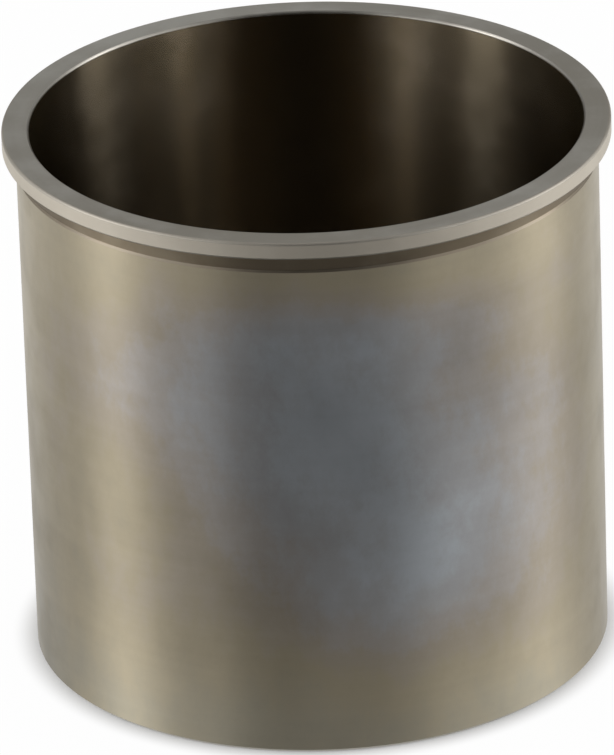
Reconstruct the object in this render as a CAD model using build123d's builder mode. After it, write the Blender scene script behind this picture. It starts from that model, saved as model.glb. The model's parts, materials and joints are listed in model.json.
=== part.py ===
# Flanged dry liner for one cylinder of a piston engine: a thin iron sleeve, turned,
# ground outside and honed inside, with a flange at its top that seats in the
# counterbore of the block. It stands on its lower end. The origin is the centre of
# that end, and +Z runs up the bore's axis to the flange.
from build123d import *
from math import radians, tan
import os

# Driving dimensions, in millimetres and degrees

bore_diameter = 96.5       # honed bore that the piston runs in
wall_thickness = 2.45      # from the bore to the ground outside
liner_length = 97.6        # from the lower end to the top face
flange_overhang = 2.3      # how far the rim stands out past the ground outside
flange_thickness = 3.1     # from the seat to the top face

relief_width = 3.35        # grinding relief under the seat, along the axis
relief_depth = 0.25        # below the ground outside
relief_root_radius = 0.2   # in both root corners of the relief
run_out_angle = 30.0       # slope of the relief's foot away from the axis

bore_mouth_chamfer = 0.3   # 45 degrees, at the top of the bore
rim_top_radius = 0.35      # round the rim's upper edge
rim_seat_break = 0.35      # 45 degrees, round the rim's lower edge
foot_chamfer = 0.5         # 45 degrees, leads the liner into the block
ring_lead_height = 2.0     # lead-in for the piston rings at the foot of the bore
ring_lead_angle = 15.0     # slope of that lead-in away from the axis

# Radii and heights that follow from them

bore_radius = bore_diameter / 2
body_radius = bore_radius + wall_thickness
rim_radius = body_radius + flange_overhang
relief_radius = body_radius - relief_depth
seat_height = liner_length - flange_thickness
relief_foot = seat_height - relief_width
run_out_top = relief_foot + relief_depth / tan(radians(run_out_angle))

# The liner, one turned piece

with BuildPart() as cylinder_liner:
    # Half section of the sleeve and its flange, turned about the bore's axis
    with BuildSketch(Plane.XZ):
        with BuildLine():
            Polyline(
                (bore_radius, 0),
                (body_radius, 0),
                (body_radius, seat_height),
                (rim_radius, seat_height),
                (rim_radius, liner_length),
                (bore_radius, liner_length),
                close=True,
            )
        make_face()
    revolve(axis=Axis.Z)

    # Grinding relief: lets the wheel run out, so that the outside is to size and the
    # seat is square right up to their corner. Its foot slopes out to the ground outside
    with BuildSketch(Plane.XZ) as relief:
        with BuildLine():
            Polyline(
                (body_radius, relief_foot),
                (body_radius, seat_height),
                (relief_radius, seat_height),
                (relief_radius, run_out_top),
                close=True,
            )
        make_face()
        fillet(relief.vertices().group_by(Axis.X)[0], relief_root_radius)
    revolve(axis=Axis.Z, mode=Mode.SUBTRACT)

    # Rim: rounded above, and chamfered below to clear the counterbore's corner
    rings = cylinder_liner.edges().filter_by(GeomType.CIRCLE)
    rim_edges = rings.group_by(SortBy.RADIUS)[-1].sort_by(Axis.Z)
    fillet(rim_edges[-1], rim_top_radius)
    chamfer(rim_edges[0], rim_seat_break)

    # Mouth of the bore, in the top face
    top_rings = cylinder_liner.edges().group_by(Axis.Z)[-1].sort_by(SortBy.RADIUS)
    chamfer(top_rings[0], bore_mouth_chamfer)

    # Lower end: a chamfer outside, and inside a long shallow lead-in for the rings
    foot_rings = cylinder_liner.edges().group_by(Axis.Z)[0].sort_by(SortBy.RADIUS)
    chamfer(foot_rings[-1], foot_chamfer)
    round_walls = cylinder_liner.faces().filter_by(GeomType.CYLINDER)
    bore_wall = round_walls.sort_by(SortBy.RADIUS)[0]
    chamfer(foot_rings[0], ring_lead_height, angle=ring_lead_angle, reference=bore_wall)

cylinder_liner.part.label = "cylinder_liner"

os.makedirs("parts", exist_ok=True)
export_step(cylinder_liner.part, "parts/cylinder_liner.step")
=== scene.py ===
import json
import math

import bpy
import numpy as np
from mathutils import Matrix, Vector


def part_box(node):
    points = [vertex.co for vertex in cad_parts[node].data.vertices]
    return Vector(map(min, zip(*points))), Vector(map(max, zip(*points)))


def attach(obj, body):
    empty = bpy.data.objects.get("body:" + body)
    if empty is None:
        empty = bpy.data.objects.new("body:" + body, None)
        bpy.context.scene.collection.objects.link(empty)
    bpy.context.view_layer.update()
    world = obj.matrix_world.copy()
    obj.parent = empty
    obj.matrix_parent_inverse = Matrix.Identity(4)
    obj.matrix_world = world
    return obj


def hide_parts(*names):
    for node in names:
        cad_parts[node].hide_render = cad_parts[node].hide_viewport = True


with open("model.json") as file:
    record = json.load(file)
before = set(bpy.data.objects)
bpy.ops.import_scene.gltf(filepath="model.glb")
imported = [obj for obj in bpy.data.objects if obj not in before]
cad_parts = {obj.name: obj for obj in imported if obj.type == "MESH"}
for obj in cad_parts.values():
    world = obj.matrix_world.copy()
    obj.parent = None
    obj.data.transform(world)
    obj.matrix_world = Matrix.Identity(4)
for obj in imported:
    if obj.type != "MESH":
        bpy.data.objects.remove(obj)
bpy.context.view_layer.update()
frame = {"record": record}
print("frame loaded")

mm = 0.001
cadNode = "cylinder_liner"
linerFoot, linerTop = [corner.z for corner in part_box(cadNode)]
mounts = {mount["name"]: mount for mount in frame["record"]["mounts"]}


def wallSpan(name):  # radius, lower end and upper end of a round wall
    mount = mounts[name]
    half = mount["dims"]["length_mm"] * mm / 2
    middle = mount["pos_m"][2]
    return mount["dims"]["r_mm"] * mm, middle - half, middle + half


# Node helpers

def addNode(tree, kind, values=None, **settings):
    node = tree.nodes.new(kind)
    for name, value in settings.items():
        setattr(node, name, value)
    for socket, value in (values or {}).items():
        feed(tree, node, socket, value)
    return node


def feed(tree, node, socket, value):
    if isinstance(value, bpy.types.NodeSocket):
        tree.links.new(value, node.inputs[socket])
    else:
        node.inputs[socket].default_value = value


def calc(tree, operation, *terms):
    return addNode(tree, "ShaderNodeMath", dict(enumerate(terms)), operation=operation).outputs[0]


def stretch(tree, vector, factors):
    return addNode(tree, "ShaderNodeVectorMath", {0: vector, 1: factors}, operation="MULTIPLY").outputs[0]


def softStep(tree, value, low, high, start=0.0, end=1.0):
    values = {"Value": value, "From Min": low, "From Max": high, "To Min": start, "To Max": end}
    node = addNode(tree, "ShaderNodeMapRange", values, interpolation_type="SMOOTHSTEP")
    return node.outputs["Result"]


def mixColor(tree, factor, first, second, blend="MIX"):
    values = {0: factor, 6: first, 7: second}    # the colour sockets, as is output 2
    return addNode(tree, "ShaderNodeMix", values, data_type="RGBA", blend_type=blend).outputs[2]


def mixValue(tree, factor, first, second):
    return addNode(tree, "ShaderNodeMix", {0: factor, 2: first, 3: second}).outputs[0]


def noiseOf(tree, vector, scale, detail, fade):  # fade: how much of each finer layer is kept
    values = {"Vector": vector, "Scale": scale, "Detail": detail, "Roughness": fade}
    return addNode(tree, "ShaderNodeTexNoise", values).outputs["Fac"]


def newGroup(name, inputs, outputs):  # inputs: name -> (socket type, default or None)
    group = bpy.data.node_groups.new(name, "ShaderNodeTree")
    for socketName, (kind, default) in inputs.items():
        socket = group.interface.new_socket(socketName, in_out="INPUT", socket_type=kind)
        if default is not None:
            socket.default_value = default
    for socketName, kind in outputs.items():
        group.interface.new_socket(socketName, in_out="OUTPUT", socket_type=kind)
    return group, group.nodes.new("NodeGroupInput"), group.nodes.new("NodeGroupOutput")


def useGroup(tree, group, values):
    node = addNode(tree, "ShaderNodeGroup", node_tree=group)
    for socket, value in values.items():
        feed(tree, node, socket, value)
    return node.outputs


valueSocket = "NodeSocketFloat"
vectorSocket = "NodeSocketVector"


def roundCoordinates(tree, point):  # unit direction from the axis, radius and height
    x, y, z = addNode(tree, "ShaderNodeSeparateXYZ", {0: point}).outputs
    squares = [calc(tree, "MULTIPLY", side, side) for side in (x, y)]
    radius = calc(tree, "SQRT", calc(tree, "ADD", *squares))
    return calc(tree, "DIVIDE", x, radius), calc(tree, "DIVIDE", y, radius), radius, z


toolMarks = {
    "breakUp": 2.5,            # how often a line starts and ends round the axis
    # width in pitches, noise detail, and share of the height
    "fine": (1.0, 3.0, 0.7),
    "broad": (7.0, 2.0, 0.3),
    "fade": 0.55,
}


def makeToolLines():  # lines that a lathe or a grinding wheel leaves round the axis
    group, given, made = newGroup(
        "toolLines",
        {
            "Point": (vectorSocket, None),
            "Face": (valueSocket, 0.0),       # 0 on a round wall, 1 on a flat face
            "Pitch": (valueSocket, None),
            "Break Up": (valueSocket, toolMarks["breakUp"]),
        },
        {"Height": valueSocket, "Band": valueSocket},
    )
    unitX, unitY, radius, z = roundCoordinates(group, given.outputs["Point"])
    across = calc(group, "SUBTRACT", radius, z)
    along = calc(group, "MULTIPLY_ADD", across, given.outputs["Face"], z)
    lines, heights = {}, []
    for name in ("fine", "broad"):
        spread, detail, share = toolMarks[name]
        turns = calc(group, "DIVIDE", given.outputs["Break Up"], math.sqrt(spread))
        step = calc(group, "MULTIPLY", given.outputs["Pitch"], spread)
        place = addNode(group, "ShaderNodeCombineXYZ", {
            "X": calc(group, "MULTIPLY", unitX, turns),
            "Y": calc(group, "MULTIPLY", unitY, turns),
            "Z": calc(group, "DIVIDE", along, step),
        }).outputs[0]
        lines[name] = noiseOf(group, place, 1.0, detail, toolMarks["fade"])
        heights.append(calc(group, "MULTIPLY", lines[name], share))
    feed(group, made, "Height", calc(group, "ADD", *heights))
    feed(group, made, "Band", lines["broad"])
    return group


hone = {
    "twist": 36.0,             # radians of turn for each metre of height
    "length": 30 * mm,
    "detail": 2.0,
    "fade": 0.6,
    "scratch": (0.30, 0.42),   # heights between which a mark fades out
}


def makeHoneMarks():  # two crossing sets of helical scratches
    group, given, made = newGroup(
        "honeMarks",
        {
            "Point": (vectorSocket, None),
            "Twist": (valueSocket, hone["twist"]),
            "Pitch": (valueSocket, None),
            "Length": (valueSocket, hone["length"]),
        },
        {"Height": valueSocket, "Scratch": valueSocket},
    )
    z = addNode(group, "ShaderNodeSeparateXYZ", {0: given.outputs["Point"]}).outputs["Z"]
    perPitch = calc(group, "DIVIDE", 1.0, given.outputs["Pitch"])
    perLength = calc(group, "DIVIDE", 1.0, given.outputs["Length"])
    factors = addNode(group, "ShaderNodeCombineXYZ", {0: perPitch, 1: perPitch, 2: perLength}).outputs[0]
    sets = []
    for hand in (1.0, -1.0):
        angle = calc(group, "MULTIPLY", calc(group, "MULTIPLY", z, given.outputs["Twist"]), hand)
        turned = addNode(group, "ShaderNodeVectorRotate", {
            "Vector": given.outputs["Point"], "Angle": angle,
        }, rotation_type="Z_AXIS").outputs[0]
        sets.append(noiseOf(group, stretch(group, turned, factors), 1.0, hone["detail"], hone["fade"]))
    lower = calc(group, "MINIMUM", *sets)
    feed(group, made, "Height", lower)
    feed(group, made, "Scratch", softStep(group, lower, *hone["scratch"], 1.0, 0.0))
    return group


patchEdge = 1.6      # how far out a patch has faded away, in half widths
steepest = 0.99999   # keeps the arccosine below off its steep end


def makeSoftPatch():  # one soft-edged patch on a round wall, at an azimuth and a height
    group, given, made = newGroup(
        "softPatch",
        {
            "Point": (vectorSocket, None),
            "Azimuth": (valueSocket, None),     # degrees from -Y towards +X
            "Height": (valueSocket, None),
            "Half Width": (valueSocket, None),  # degrees
            "Half Height": (valueSocket, None),
        },
        {"Mask": valueSocket},
    )
    unitX, unitY, _, z = roundCoordinates(group, given.outputs["Point"])
    turn = calc(group, "RADIANS", given.outputs["Azimuth"])
    facing = calc(group, "SUBTRACT",
                  calc(group, "MULTIPLY", unitX, calc(group, "SINE", turn)),
                  calc(group, "MULTIPLY", unitY, calc(group, "COSINE", turn)))
    away = calc(group, "ARCCOSINE", calc(group, "MINIMUM", facing, steepest))
    sideways = calc(group, "DIVIDE", away, calc(group, "RADIANS", given.outputs["Half Width"]))
    climb = calc(group, "SUBTRACT", z, given.outputs["Height"])
    upward = calc(group, "DIVIDE", climb, given.outputs["Half Height"])
    squares = [calc(group, "MULTIPLY", side, side) for side in (sideways, upward)]
    reach = calc(group, "SQRT", calc(group, "ADD", *squares))
    feed(group, made, "Mask", softStep(group, reach, 0.0, patchEdge, 1.0, 0.0))
    return group


smudges = {
    "size": 12 * mm,
    "detail": 4.0,
    "fade": 0.6,
    "levels": (0.42, 0.68),    # noise levels between which a smudge comes in
}


def makeHandling():  # what hands and benches leave: faint smudges
    group, given, made = newGroup(
        "handling",
        {"Point": (vectorSocket, None), "Size": (valueSocket, smudges["size"])},
        {"Smudge": valueSocket},
    )
    perSize = calc(group, "DIVIDE", 1.0, given.outputs["Size"])
    cloudy = noiseOf(group, given.outputs["Point"], perSize, smudges["detail"], smudges["fade"])
    feed(group, made, "Smudge", softStep(group, cloudy, *smudges["levels"]))
    return group


toolLines = makeToolLines()
honeMarks = makeHoneMarks()
softPatch = makeSoftPatch()
handling = makeHandling()
print("shader groups made")


# Finishes, one material for each way the iron was cut

def startMetal(name, brushed, edgeTint):
    material = bpy.data.materials.new(name)
    material.use_nodes = True
    tree = material.node_tree
    tree.nodes.clear()
    shader = addNode(tree, "ShaderNodeBsdfPrincipled", {
        "Metallic": 1.0,
        "Anisotropic": brushed,
        "Anisotropic Rotation": 0.25,     # tool lines run round, so light spreads up and down
        "Specular Tint": (*edgeTint, 1.0),
    })
    around = addNode(tree, "ShaderNodeTangent", direction_type="RADIAL", axis="Z").outputs[0]
    feed(tree, shader, "Tangent", around)
    output = addNode(tree, "ShaderNodeOutputMaterial")
    feed(tree, output, "Surface", shader.outputs[0])
    return material, tree, shader, addNode(tree, "ShaderNodeTexCoord").outputs["Object"]


def rampOf(tree, value, stops, interpolation="EASE"):
    node = addNode(tree, "ShaderNodeValToRGB", {0: value})
    ramp = node.color_ramp
    ramp.interpolation = interpolation
    while len(ramp.elements) < len(stops):
        ramp.elements.new(1.0)
    for element, (place, color) in zip(ramp.elements, stops):
        element.position = place
        element.color = (*color, 1.0)
    return node.outputs[0]


def bumpFrom(tree, shader, height, depth):
    bump = addNode(tree, "ShaderNodeBump", {"Height": height, "Distance": depth, "Strength": 1.0})
    feed(tree, shader, "Normal", bump.outputs[0])


def addPatches(tree, point, value, patches):  # each patch adds its strength to the value, at most
    for azimuth, height, halfWidth, halfHeight, strength in patches:
        mask = useGroup(tree, softPatch, {
            "Point": point, "Azimuth": azimuth, "Height": height * mm,
            "Half Width": halfWidth, "Half Height": halfHeight * mm,
        })["Mask"]
        value = calc(tree, "MULTIPLY_ADD", mask, strength, value)
    return value


# brushed: how far light spreads across the tool lines
# face: 0 where the lines are cut on a round wall, 1 on a flat face
# dark and light: the metal as it was cut, and where wear or handling has paled it; patches on the top
# face and in the bore push it to light or dark as painted light, and the relief's dark colours are partly
# painted shade
ground = {
    "brushed": 0.8,
    "edgeTint": (0.95, 0.95, 0.95),
    "roughness": (0.43, 0.49),
    "pitch": 0.3 * mm,
    "lineDepth": 0.0012 * mm,
    "bandShade": 0.10,
    "cloudScale": 26.0,
    "cloudDetail": 3.0,
    "cloudFade": 0.55,
    "cloudShare": 0.50,
    "mottleScale": 120.0,
    "mottleDetail": 5.0,
    "mottleFade": 0.72,
    "mottleDrawn": (1.0, 1.0, 0.7),    # drawn out a little up and down
    "mottleShare": 0.52,
    "mottleShade": 0.30,
    "filmLeast": 0.04,
    "filmStops": [
        (0.00, (0.352, 0.322, 0.250)),   # bare iron
        (0.30, (0.356, 0.312, 0.226)),   # straw
        (0.48, (0.340, 0.300, 0.240)),   # tan
        (0.62, (0.336, 0.311, 0.284)),   # rose grey
        (0.80, (0.334, 0.334, 0.336)),   # violet grey
        (1.00, (0.356, 0.376, 0.396)),   # pale blue
    ],
    # where the heat film lies: azimuth, height in mm, half width, half height in mm, strength
    "patches": [
        (-2, 66, 46, 20, 0.45),
        (18, 41, 40, 24, 0.48),
        (8, 70, 18, 12, 0.10),
        (24, 35, 18, 12, 0.10),
        (-12, 47, 20, 20, 0.08),
        (5, 90, 60, 9, -0.06),
        (-62, 60, 14, 26, 0.10),
        (62, 55, 14, 30, 0.10),
        (160, 60, 44, 22, 0.48),
        (-172, 38, 34, 20, 0.30),
        (-118, 72, 26, 16, 0.34),
        (112, 36, 26, 18, 0.30),
        (8, 79, 34, 8, 0.20),
        (8, 29, 20, 10, 0.12),
        (48, 58, 12, 20, 0.12),
        (2, 0, 110, 14, -0.22),
    ],
    # the same for painted light and shade: where the wall is painted paler or darker to stand in for the
    # reflections that fall on it
    "shades": [
        (-78, 92, 22, 34, 0.14),
        (-80, 0, 24, 42, -0.34),
        (76, 94, 22, 26, 0.10),
        (84, 0, 18, 24, -0.20),
        (2, 0, 42, 26, 0.30),
        (-28, 48, 17, 56, -0.17),
        (-52, 48, 10, 56, -0.10),
        (-63, 52, 13, 40, -0.09),
        (16, 72, 10, 16, 0.20),
        (28, 42, 22, 16, 0.18),
        (14, 28, 10, 12, 0.12),
        (-25, 4, 10, 34, -0.15),
        (25, 4, 9, 22, -0.12),
        (27, 77, 8, 8, -0.12),
        (-46, 48, 10, 56, -0.05),
        (5, 54, 22, 44, 0.17),
        (25, 56, 15, 60, -0.15),
        (39, 56, 14, 60, -0.10),
        (55, 50, 14, 46, -0.14),
        (71, 50, 14, 50, -0.09),
        (9, 88, 26, 13, 0.34),
        (12, 0, 20, 32, 0.24),
        (170, 8, 60, 30, 0.12),
    ],
}


def makeGroundOutside():
    material, tree, shader, point = startMetal("groundOutside", ground["brushed"], ground["edgeTint"])
    lines = useGroup(tree, toolLines, {"Point": point, "Pitch": ground["pitch"]})
    hands = useGroup(tree, handling, {"Point": point})
    cloud = noiseOf(tree, point, ground["cloudScale"], ground["cloudDetail"], ground["cloudFade"])
    film = calc(tree, "MULTIPLY_ADD", cloud, ground["cloudShare"], ground["filmLeast"])
    drawn = stretch(tree, point, ground["mottleDrawn"])
    mottle = noiseOf(tree, drawn, ground["mottleScale"], ground["mottleDetail"], ground["mottleFade"])
    mottle = calc(tree, "SUBTRACT", mottle, 0.5)    # so that it lightens and darkens alike
    film = calc(tree, "MULTIPLY_ADD", mottle, ground["mottleShare"], film)
    film = addPatches(tree, point, film, ground["patches"])
    color = rampOf(tree, calc(tree, "MAXIMUM", film, 0.0), ground["filmStops"])
    shade = calc(tree, "MULTIPLY_ADD", lines["Band"], ground["bandShade"], 1.0 - ground["bandShade"] / 2)
    shade = calc(tree, "MULTIPLY_ADD", mottle, ground["mottleShade"], shade)
    # painted light and shade: these patches make the wall paler or darker where reflections fall
    shade = addPatches(tree, point, shade, ground["shades"])
    gray = addNode(tree, "ShaderNodeCombineColor", {0: shade, 1: shade, 2: shade}).outputs[0]
    feed(tree, shader, "Base Color", mixColor(tree, 1.0, color, gray, "MULTIPLY"))
    low, high = ground["roughness"]
    feed(tree, shader, "Roughness", calc(tree, "MULTIPLY_ADD", hands["Smudge"], high - low, low))
    bumpFrom(tree, shader, lines["Height"], ground["lineDepth"])
    return material


def wearAndLightMetal(tree, shader, look, wearAndPaintedLight):  # colour and roughness from the metal's wear, and from painted light where patches add it
    feed(tree, shader, "Base Color", mixColor(tree, wearAndPaintedLight, (*look["dark"], 1.0), (*look["light"], 1.0)))
    low, high = look["roughness"]
    feed(tree, shader, "Roughness", calc(tree, "MULTIPLY_ADD", wearAndPaintedLight, high - low, low))


turnedWear = {"smudge": 0.5, "band": 0.5}


def makeTurned(name, look):  # any other cut face
    material, tree, shader, point = startMetal(name, look["brushed"], look["edgeTint"])
    lines = useGroup(tree, toolLines, {"Point": point, "Pitch": look["pitch"], "Face": look["face"]})
    hands = useGroup(tree, handling, {"Point": point})
    banded = calc(tree, "MULTIPLY", lines["Band"], turnedWear["band"])
    wearAndPaintedLight = calc(tree, "MULTIPLY_ADD", hands["Smudge"], turnedWear["smudge"], banded)
    # patches, where a finish has them, add painted light to the wear
    wearAndLightMetal(tree, shader, look, addPatches(tree, point, wearAndPaintedLight, look.get("patches", [])))
    bumpFrom(tree, shader, lines["Height"], look["lineDepth"])
    return material


topFace = {
    "brushed": 0.3, "edgeTint": (0.6, 0.6, 0.6), "roughness": (0.33, 0.43),
    "pitch": 0.25 * mm, "face": 1.0, "lineDepth": 0.001 * mm,
    "dark": (0.405, 0.380, 0.328), "light": (0.540, 0.524, 0.478),
    # painted light: the face is painted paler at the back and darker in front and at one side; azimuth,
    # height in mm, half width, half height in mm, strength
    "patches": [
        (-150, linerTop / mm, 44, 9, 0.45),
        (-14, linerTop / mm, 30, 9, -0.40),
        (46, linerTop / mm, 16, 9, 0.25),
        (104, linerTop / mm, 24, 9, -0.30),
    ],
}
rim = {
    "brushed": 0.25, "edgeTint": (0.9, 0.9, 0.9), "roughness": (0.61, 0.69),
    "pitch": 0.3 * mm, "face": 0.0, "lineDepth": 0.0015 * mm,
    "dark": (0.500, 0.458, 0.388), "light": (0.580, 0.540, 0.468),
}
# the groove's dark colours are partly painted shade: darker than the cut metal, where the flange shades
# it
relief = {
    "brushed": 0.7, "edgeTint": (0.9, 0.9, 0.9), "roughness": (0.42, 0.50),
    "pitch": 0.4 * mm, "face": 0.0, "lineDepth": 0.004 * mm,
    "dark": (0.145, 0.116, 0.080), "light": (0.225, 0.190, 0.138),
}
runOut = {
    "brushed": 0.9, "edgeTint": (0.9, 0.9, 0.9), "roughness": (0.54, 0.62),
    "pitch": 0.3 * mm, "face": 0.0, "lineDepth": 0.003 * mm,
    "dark": (0.375, 0.318, 0.246), "light": (0.450, 0.396, 0.318),
}
rimEdge = {
    "brushed": 0.2, "edgeTint": (0.9, 0.9, 0.9), "roughness": (0.52, 0.60),
    "pitch": 0.3 * mm, "face": 0.0, "lineDepth": 0.001 * mm,
    "dark": (0.376, 0.346, 0.297), "light": (0.442, 0.414, 0.363),
}
mouth = {
    "brushed": 0.3, "edgeTint": (0.9, 0.9, 0.9), "roughness": (0.30, 0.44),
    "pitch": 0.2 * mm, "face": 0.0, "lineDepth": 0.001 * mm,
    "dark": (0.320, 0.302, 0.268), "light": (0.400, 0.384, 0.348),
}
brokenEdge = {
    "brushed": 0.4, "edgeTint": (0.7, 0.7, 0.7), "roughness": (0.35, 0.45),
    "pitch": 0.2 * mm, "face": 0.0, "lineDepth": 0.001 * mm,
    "dark": (0.300, 0.285, 0.245), "light": (0.420, 0.400, 0.350),
}
bore = {
    "brushed": 1.0, "edgeTint": (0.3, 0.3, 0.25), "roughness": (0.22, 0.31),
    "pitch": 0.5 * mm, "lineDepth": 0.002 * mm,
    "smudge": 0.23, "scratch": 0.03,
    "dark": (0.345, 0.285, 0.195), "light": (0.495, 0.426, 0.330),
    # painted light: paler zones on the back of the bore where reflections fall; azimuth, height in mm,
    # half width, half height in mm, strength
    "patches": [
        (160, 76, 9, 19, 0.38),
        (-154, 79, 9, 15, 0.20),
    ],
}


def makeHonedBore():
    material, tree, shader, point = startMetal("honedBore", bore["brushed"], bore["edgeTint"])
    marks = useGroup(tree, honeMarks, {"Point": point, "Pitch": bore["pitch"]})
    hands = useGroup(tree, handling, {"Point": point})
    scratched = calc(tree, "MULTIPLY", marks["Scratch"], bore["scratch"])
    wearAndPaintedLight = calc(tree, "MULTIPLY_ADD", hands["Smudge"], bore["smudge"], scratched)
    # the patches add painted light to the wear
    wearAndLightMetal(tree, shader, bore, addPatches(tree, point, wearAndPaintedLight, bore["patches"]))
    bumpFrom(tree, shader, marks["Height"], bore["lineDepth"])
    return material


finishes = {
    "ground": makeGroundOutside(),
    "relief": makeTurned("reliefGroove", relief),
    "runOut": makeTurned("reliefRunOut", runOut),
    "rim": makeTurned("turnedRim", rim),
    "rimEdge": makeTurned("rimEdge", rimEdge),
    "face": makeTurned("turnedFace", topFace),
    "mouth": makeTurned("boreMouth", mouth),
    "edge": makeTurned("brokenEdge", brokenEdge),
    "bore": makeHonedBore(),
}
finishOrder = list(finishes)
print("finishes made")


# The liner, turned from its outline

liner = {
    "reliefDepth": 0.25 * mm,
    "reliefRoot": 0.20 * mm,
    "runOutAngle": 30.0,          # degrees from the axis, at the foot of the relief
    "ringLeadAngle": 15.0,        # degrees from the axis
    "rimRound": 0.45 * mm,        # wear has rounded the rim's upper edge a little more
    "edgeRound": 0.06 * mm,       # what stoning leaves on each broken edge
    "mouthTopRound": 0.15 * mm,   # where the mouth's chamfer meets the top face
    "mouthFootRound": 0.50 * mm,  # the hone has run the chamfer into the bore
    "segments": 384,
    "wallStep": 4.0 * mm,         # height between rings up the two long walls
    "arcStep": 15.0,              # degrees between rings round an edge
}


def linerCorners():  # radius, height, rounding, and the finishes of the corner and of the run after it
    boreRadius, boreFoot, boreTop = wallSpan("bore")
    bodyRadius, bodyFoot, bodyTop = wallSpan("ground_outside")
    rimRadius, rimFoot, _ = wallSpan("flange_rim")
    seat = mounts["flange_seat"]["pos_m"][2]
    reliefRadius = bodyRadius - liner["reliefDepth"]
    runOutTop = bodyTop + liner["reliefDepth"] / math.tan(math.radians(liner["runOutAngle"]))
    leadRadius = boreRadius + (boreFoot - linerFoot) * math.tan(math.radians(liner["ringLeadAngle"]))
    footChamfer = bodyFoot - linerFoot
    mouthChamfer = linerTop - boreTop
    small = liner["edgeRound"]
    root = liner["reliefRoot"]
    return [
        (leadRadius, linerFoot, small, "edge", "face"),
        (bodyRadius - footChamfer, linerFoot, small, "edge", "edge"),
        (bodyRadius, bodyFoot, small, "edge", "ground"),
        (bodyRadius, bodyTop, small, "runOut", "runOut"),
        (reliefRadius, runOutTop, root, "relief", "relief"),
        (reliefRadius, seat, root, "relief", "face"),
        (rimRadius - (rimFoot - seat), seat, small, "edge", "edge"),
        (rimRadius, rimFoot, small, "edge", "rim"),
        (rimRadius, linerTop, liner["rimRound"], "rimEdge", "face"),
        (boreRadius + mouthChamfer, linerTop, liner["mouthTopRound"], "mouth", "mouth"),
        (boreRadius, boreTop, liner["mouthFootRound"], "mouth", "bore"),
        (boreRadius, boreFoot, small, "edge", "bore"),
    ]


def bendBetween(first, second):  # angle from one direction to the next
    return math.atan2(first[0] * second[1] - first[1] * second[0], first @ second)


def roundedOutline(corners):  # points (radius, height), normals, and each run's finish
    spots = np.array([corner[:2] for corner in corners])
    ahead = np.roll(spots, -1, 0) - spots
    reaches = np.linalg.norm(ahead, axis=1)
    ahead = ahead / reaches[:, None]
    bends = [bendBetween(ahead[i - 1], ahead[i]) for i in range(len(corners))]
    backs = [corner[2] * math.tan(abs(bend) / 2) for corner, bend in zip(corners, bends)]
    points, normals, runs = [], [], []
    for i, (_, _, rounding, cornerFinish, finish) in enumerate(corners):
        before, bend = ahead[i - 1], bends[i]
        side = math.copysign(rounding, bend)
        firstNormal = np.array([before[1], -before[0]])
        center = spots[i] - before * backs[i] - firstNormal * side
        steps = max(2, math.ceil(math.degrees(abs(bend)) / liner["arcStep"]))
        for k in range(steps + 1):
            part = bend * k / steps
            normal = np.array([
                firstNormal[0] * math.cos(part) - firstNormal[1] * math.sin(part),
                firstNormal[0] * math.sin(part) + firstNormal[1] * math.cos(part),
            ])
            points.append(center + normal * side)
            normals.append(normal)
            runs.append(cornerFinish if k < steps else finish)
        following = (i + 1) % len(corners)
        tail = spots[following] - ahead[i] * backs[following]
        pieces = int(reaches[i] // liner["wallStep"])
        for k in range(1, pieces):
            points.append(points[-1] + (tail - points[-1]) / (pieces - k + 1))
            normals.append(normals[-1])
            runs.append(finish)
    return np.array(points), np.array(normals), runs


def turnRound(outline, cosine, sine):  # every (radius, height) carried round the axis
    heights = np.repeat(outline[:, 1:], len(cosine), 1)
    turned = np.stack([np.outer(outline[:, 0], cosine), np.outer(outline[:, 0], sine), heights], -1)
    return turned.reshape(-1, 3)


def turnOnLathe(name, points, normals, runs):
    count, rings = liner["segments"], len(points)
    angle = 2 * math.pi * np.arange(count) / count + math.pi / 2    # the seam is at the back
    cosine, sine = np.cos(angle), np.sin(angle)
    vertices = turnRound(points, cosine, sine)
    directions = turnRound(normals, cosine, sine)
    ring, spot = np.meshgrid(np.arange(rings), np.arange(count), indexing="ij")
    nextRing, nextSpot = (ring + 1) % rings, (spot + 1) % count
    here, above = ring * count, nextRing * count
    faces = np.stack([here + spot, here + nextSpot, above + nextSpot, above + spot], -1).reshape(-1, 4)
    mesh = bpy.data.meshes.new(name)
    mesh.from_pydata(vertices.tolist(), [], faces.tolist())
    mesh.materials.clear()
    for finish in finishOrder:
        mesh.materials.append(finishes[finish])
    slots = np.repeat([finishOrder.index(run) for run in runs], count)
    mesh.polygons.foreach_set("material_index", slots.astype(np.int32))
    unwrapOutline(mesh, points, ring, spot)
    mesh.shade_smooth()
    mesh.normals_split_custom_set_from_vertices(directions.tolist())
    mesh.update()
    piece = bpy.data.objects.new(name, mesh)
    bpy.context.scene.collection.objects.link(piece)
    return piece


def unwrapOutline(mesh, points, ring, spot):  # one sheet: round the axis by along the outline
    lengths = np.linalg.norm(np.roll(points, -1, 0) - points, axis=1)
    along = np.concatenate([[0.0], np.cumsum(lengths)]) / lengths.sum()
    count = liner["segments"]
    left, right = spot / count, (spot + 1) / count
    low, high = along[ring], along[ring + 1]
    corners = np.stack([left, low, right, low, right, high, left, high], -1).reshape(-1)
    mesh.uv_layers.new(name="OFBake").uv.foreach_set("vector", corners.astype(np.float32))


piece = turnOnLathe("turned_liner", *roundedOutline(linerCorners()))
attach(piece, "root")
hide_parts(cadNode)
print("liner turned:", len(piece.data.polygons), "faces")


# Floor, room and lights

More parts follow.
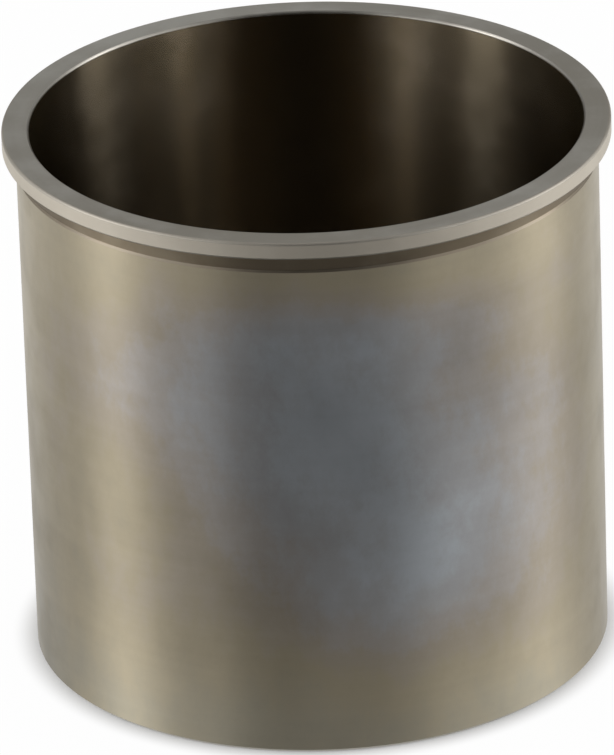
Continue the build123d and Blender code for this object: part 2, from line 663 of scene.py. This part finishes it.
studio = {
    "floorHalf": 12.0,
    "floorTone": 0.80,
    "plainLevel": 0.75,         # what the room gives to every matt surface
    "whiteFrom": 0.0484,        # metres from the axis where the floor starts to go white
    "whiteTo": 0.0555,
    "whiteShare": 0.98,
    "openFrom": 0.0494,         # the same for where the metal sees the room's level and not the paper
    "openTo": 0.0500,
    "shadeFrom": 0.047,         # the same for where the bore sees no paper but painted shade: the paper under the liner is black to the metal
    "shadeTo": 0.048,
    # sine of the height over which one level gives way to the next, for what the metal sees
    "rise": (-0.12, 0.02),      # low to middle
    "lift": (0.21, 0.37),       # middle to high
    "over": (0.88, 0.95),       # high to the ceiling
    "overLevel": 0.42,
    "roof": (0.80, 0.92),       # where the dark roof starts for matt surfaces
    "roofLevel": 0.03,
    # azimuth from the front towards +X in degrees, and the level there
    "low": [
        (-180, 1.20), (-145, 1.12), (-115, 0.88), (-84, 0.90), (-60, 0.36), (-40, 0.20), (-20, 0.30),
        (0, 0.35), (20, 0.33), (40, 0.24), (60, 0.34), (97, 1.02), (118, 0.86), (145, 1.16), (180, 1.22),
    ],
    "middle": [
        (-180, 0.02), (-162, 0.10), (-145, 0.45), (-120, 0.40), (-98, 1.20), (-84, 2.90), (-74, 2.00),
        (-58, 1.80), (-44, 3.50), (-32, 0.70), (-22, 0.03), (0, 0.01), (24, 0.03), (38, 0.80),
        (53, 3.20), (66, 1.70), (78, 2.00), (86, 2.90), (98, 1.20), (120, 0.40), (145, 0.45),
        (162, 0.10), (180, 0.02),
    ],
    "high": [
        (-180, 0.54), (-155, 0.57), (-130, 0.62), (-110, 0.57), (-85, 0.80), (-60, 0.50), (-44, 0.90),
        (-28, 0.02), (0, 0.01), (30, 0.02), (53, 0.80), (66, 0.50), (85, 0.80), (110, 0.57),
        (130, 0.62), (155, 0.57), (180, 0.54),
    ],
}


def levelRound(tree, turn, levels):
    stops = [((azimuth + 180) / 360, (level, level, level)) for azimuth, level in levels]
    return addNode(tree, "ShaderNodeSeparateColor", {0: rampOf(tree, turn, stops, "LINEAR")}).outputs[0]


def makeRoomLight():  # how bright the room is in one direction: dark in front, bright at the sides
    group, given, made = newGroup(
        "roomLight", {"Direction": (vectorSocket, None)}, {"Level": valueSocket, "Plain": valueSocket})
    values = {0: given.outputs["Direction"]}
    unit = addNode(group, "ShaderNodeVectorMath", values, operation="NORMALIZE").outputs[0]
    x, y, z = addNode(group, "ShaderNodeSeparateXYZ", {0: unit}).outputs
    turn = calc(group, "ARCTAN2", x, calc(group, "MULTIPLY", y, -1.0))
    turn = calc(group, "MULTIPLY_ADD", turn, 0.5 / math.pi, 0.5)    # 0 to 1 round the room, 0.5 in front
    low, middle, high = [levelRound(group, turn, studio[name]) for name in ("low", "middle", "high")]
    level = mixValue(group, softStep(group, z, *studio["rise"]), low, middle)
    level = mixValue(group, softStep(group, z, *studio["lift"]), level, high)
    level = mixValue(group, softStep(group, z, *studio["over"]), level, studio["overLevel"])
    feed(group, made, "Level", level)
    plain = softStep(group, z, *studio["roof"], studio["plainLevel"], studio["roofLevel"])
    feed(group, made, "Plain", plain)
    return group


def makeFloor():
    material = bpy.data.materials.new("paleFloor")
    material.use_nodes = True
    material.cycles.emission_sampling = "NONE"
    tree = material.node_tree
    tree.nodes.clear()
    point = addNode(tree, "ShaderNodeTexCoord").outputs["Object"]
    away = addNode(tree, "ShaderNodeVectorMath", {0: point}, operation="LENGTH").outputs["Value"]
    path = addNode(tree, "ShaderNodeLightPath").outputs
    seen = calc(tree, "MAXIMUM", path["Is Camera Ray"], path["Is Transmission Ray"])
    whitened = softStep(tree, away, studio["whiteFrom"], studio["whiteTo"], 0.0, studio["whiteShare"])
    whiteShare = calc(tree, "MULTIPLY", seen, whitened)
    opened = softStep(tree, away, studio["openFrom"], studio["openTo"])
    openShare = calc(tree, "MULTIPLY", path["Is Glossy Ray"], opened)
    covered = softStep(tree, away, studio["shadeFrom"], studio["shadeTo"], 1.0, 0.0)
    # painted shade: for what the metal sees, the paper under the liner is black
    paintedShadeUnderLiner = calc(tree, "MULTIPLY", path["Is Glossy Ray"], covered)
    tone = calc(tree, "MULTIPLY", studio["floorTone"], calc(tree, "SUBTRACT", 1.0, paintedShadeUnderLiner))
    gray = addNode(tree, "ShaderNodeCombineColor", {0: tone, 1: tone, 2: tone}).outputs[0]
    paper = addNode(tree, "ShaderNodeBsdfDiffuse", {"Color": gray})
    white = addNode(tree, "ShaderNodeEmission", {"Color": (1.0, 1.0, 1.0, 1.0), "Strength": 1.0})
    lit = addNode(tree, "ShaderNodeMixShader", {0: whiteShare, 1: paper.outputs[0], 2: white.outputs[0]})
    room = addNode(tree, "ShaderNodeBsdfTransparent")
    mix = addNode(tree, "ShaderNodeMixShader", {0: openShare, 1: lit.outputs[0], 2: room.outputs[0]})
    feed(tree, addNode(tree, "ShaderNodeOutputMaterial"), "Surface", mix.outputs[0])
    half = studio["floorHalf"]
    corners = [(-half, -half, 0), (half, -half, 0), (half, half, 0), (-half, half, 0)]
    mesh = bpy.data.meshes.new("floor")
    mesh.from_pydata(corners, [], [(0, 1, 2, 3)])
    mesh.materials.append(material)
    floor = bpy.data.objects.new("floor", mesh)
    bpy.context.scene.collection.objects.link(floor)


def makeWorld():
    world = bpy.data.worlds.new("studio")
    bpy.context.scene.world = world
    world.cycles.sampling_method = "NONE"
    world.use_nodes = True
    tree = world.node_tree
    tree.nodes.clear()
    path = addNode(tree, "ShaderNodeLightPath").outputs
    seen = calc(tree, "MAXIMUM", path["Is Camera Ray"], path["Is Transmission Ray"])
    direction = addNode(tree, "ShaderNodeTexCoord").outputs["Generated"]
    room = useGroup(tree, roomLight, {"Direction": direction})
    metal = calc(tree, "MULTIPLY", path["Is Glossy Ray"], room["Level"])
    rough = calc(tree, "MULTIPLY", path["Is Diffuse Ray"], room["Plain"])
    level = calc(tree, "MAXIMUM", seen, calc(tree, "ADD", metal, rough))
    light = addNode(tree, "ShaderNodeBackground", {"Color": (1.0, 1.0, 1.0, 1.0), "Strength": level})
    feed(tree, addNode(tree, "ShaderNodeOutputWorld"), "Surface", light.outputs[0])


# azimuth in degrees, then distance, middle height, width and height in metres, and radiance
softBoxes = {
    "rightBox": (98, 1.2, 0.52, 0.34, 1.00, 4.2),
    "leftBox": (-81, 1.2, 0.52, 0.34, 1.00, 4.2),
    "rightSpark": (105, 1.2, 1.05, 0.30, 0.40, 4.0),    # what the bore's mouth catches
    "leftSpark": (-103, 1.2, 1.05, 0.30, 0.40, 6.0),
}


def makeSoftBoxes():
    for name, (azimuth, distance, height, width, tall, radiance) in softBoxes.items():
        lamp = bpy.data.lights.new(name, "AREA")
        lamp.shape = "RECTANGLE"
        lamp.size, lamp.size_y = width, tall
        lamp.energy = radiance * width * tall * math.pi
        turn = math.radians(azimuth)
        box = bpy.data.objects.new(name, lamp)
        box.matrix_world = (
            Matrix.Translation((distance * math.sin(turn), -distance * math.cos(turn), height))
            @ Matrix.Rotation(turn, 4, "Z") @ Matrix.Rotation(math.radians(90), 4, "X"))
        bpy.context.scene.collection.objects.link(box)


roomLight = makeRoomLight()
makeFloor()
makeWorld()
makeSoftBoxes()
print("studio set")

cameraSpec = {
    "lens": 455.3,        # mm, as is the sensor's width
    "sensor": 36.0,
    "near": 0.05,         # metres
    "far": 60.0,
    "place": (0.0, -1.5227, 0.7565),
    "lookDown": 24.95,    # degrees, as are swing and roll
    "swing": -0.05,
    "roll": -1.91,
}


def makeCamera():
    camera = bpy.data.cameras.new("camera")
    camera.lens = cameraSpec["lens"]
    camera.sensor_width = cameraSpec["sensor"]
    camera.clip_start, camera.clip_end = cameraSpec["near"], cameraSpec["far"]
    holder = bpy.data.objects.new("camera", camera)
    bpy.context.scene.collection.objects.link(holder)
    holder.matrix_world = (Matrix.Translation(cameraSpec["place"])
                           @ Matrix.Rotation(math.radians(-cameraSpec["swing"]), 4, "Z")
                           @ Matrix.Rotation(math.radians(90 - cameraSpec["lookDown"]), 4, "X")
                           @ Matrix.Rotation(math.radians(cameraSpec["roll"]), 4, "Z"))
    bpy.context.scene.camera = holder


makeCamera()
bpy.context.scene.view_settings.view_transform = "Standard"
print("camera set")
